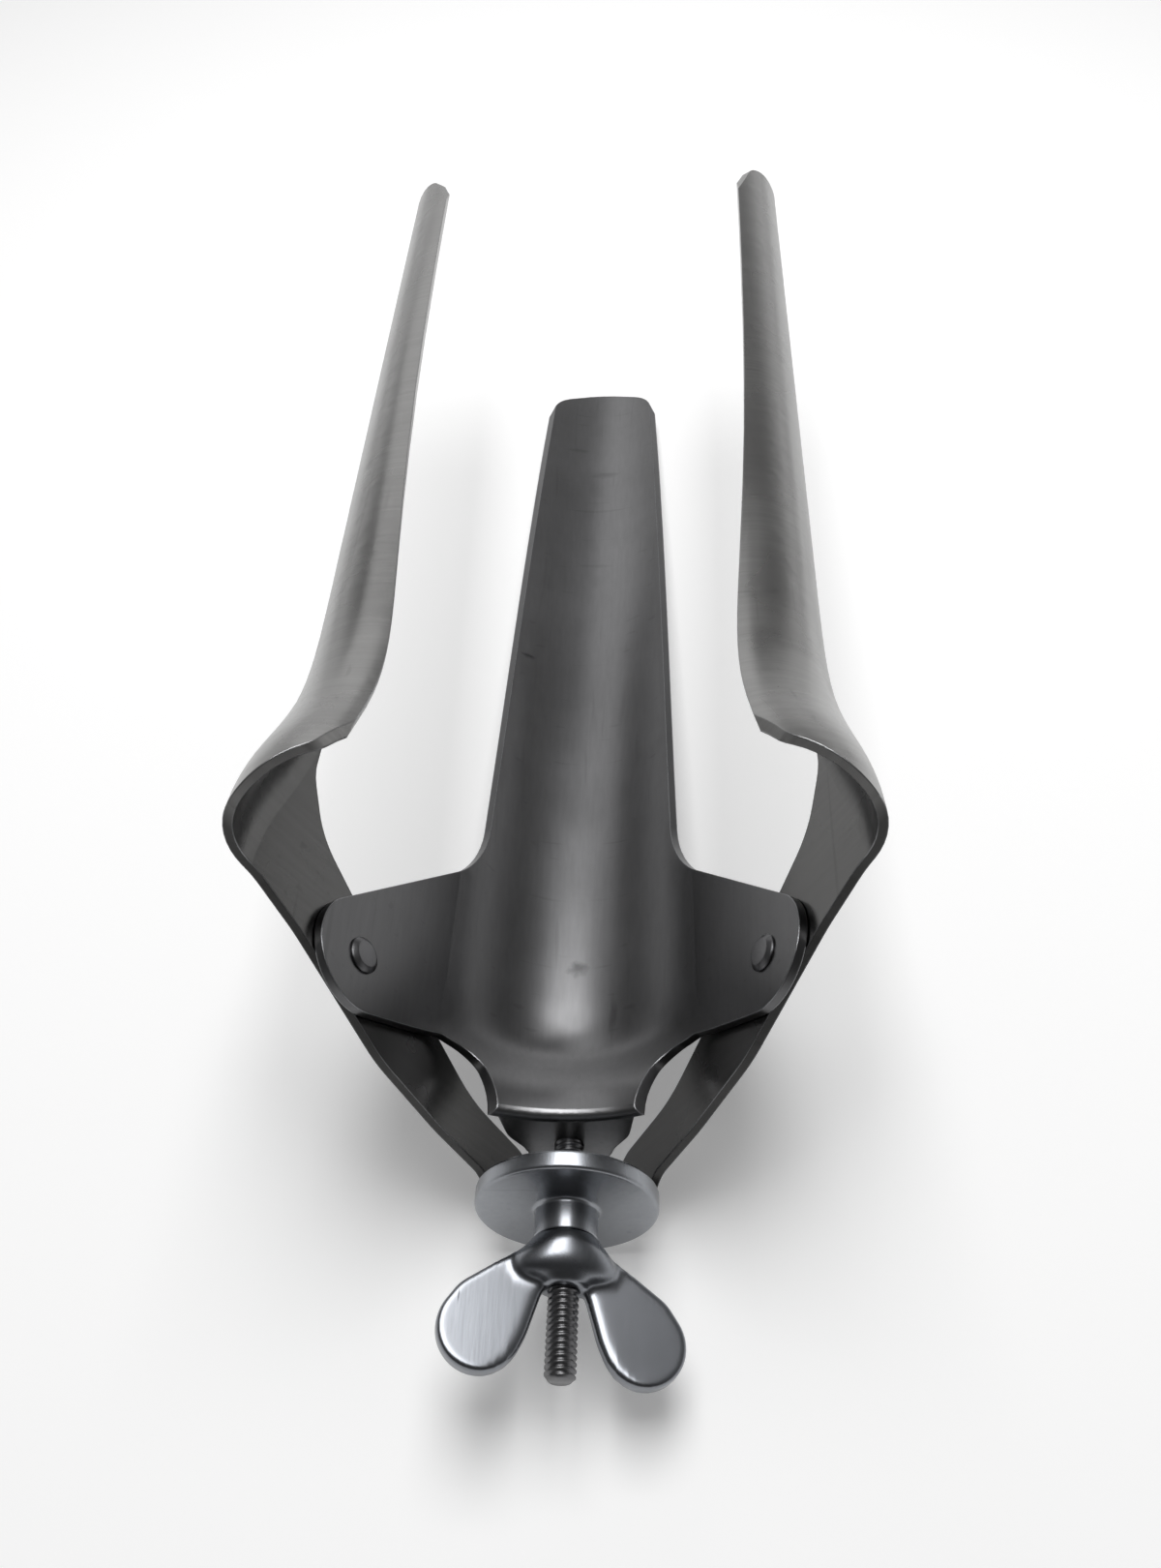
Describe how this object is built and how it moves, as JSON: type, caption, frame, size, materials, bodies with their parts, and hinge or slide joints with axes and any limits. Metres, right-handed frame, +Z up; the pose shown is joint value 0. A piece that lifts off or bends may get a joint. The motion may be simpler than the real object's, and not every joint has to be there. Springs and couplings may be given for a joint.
{
  "type": "three blade speculum",
  "caption": "Screw-operated speculum with long trough-shaped blades on a tilted pair of pivots, opened by a flange sleeve and wing nut on a central threaded rod.",
  "frame": {"origin": "centre of the adjusting screw's free end face", "axes": "+Y along the screw towards the blade tips, +Z up, away from the trough-shaped centre blade, +X across the instrument"},
  "size_m": [0.1264, 0.3832, 0.1088],
  "materials": {
    "blade_steel": "satin",
    "arm_steel": "brushed",
    "bright_steel": "polished",
    "screw_steel": "satin",
    "rivet_steel": "satin"
  },
  "bodies": {
    "frame": {"center_blade": "blade_steel", "left_pivot_rivet": "rivet_steel", "right_pivot_rivet": "rivet_steel", "adjusting_screw": "screw_steel"},
    "left_blade": {"left_blade": "arm_steel"},
    "right_blade": {"right_blade": "arm_steel"},
    "sleeve": {"flange_sleeve": "bright_steel"},
    "nut": {"wing_nut": "bright_steel"}
  },
  "joints": [
    {"name": "sleeve_slide", "type": "slide", "parent": "frame", "child": "sleeve", "axis": [0, 1, 0], "range_m": [-0.015, 0.008]},
    {"name": "nut_spin", "type": "hinge", "parent": "sleeve", "child": "nut", "pos_m": [0, 0.0225, 0], "axis": [0, 1, 0], "range_deg": [-4260, 2275]},
    {"name": "left_blade_pivot", "type": "hinge", "parent": "frame", "child": "left_blade", "pos_m": [-0.0412, 0.071, 0.04], "axis": [0.866, 0.0305, 0.4991], "range_deg": [-14.6, 7.8]},
    {"name": "right_blade_pivot", "type": "hinge", "parent": "frame", "child": "right_blade", "pos_m": [0.0412, 0.071, 0.04], "axis": [0.866, -0.0305, -0.4991], "range_deg": [-14.6, 7.8]}
  ],
  "couplings": [
    {"joint": "nut_spin", "follows": "sleeve_slide", "rad_per_m": 4947.4},
    {"joint": "left_blade_pivot", "follows": "sleeve_slide", "rad_per_m": 16.807},
    {"joint": "right_blade_pivot", "follows": "sleeve_slide", "rad_per_m": 16.807}
  ]
}
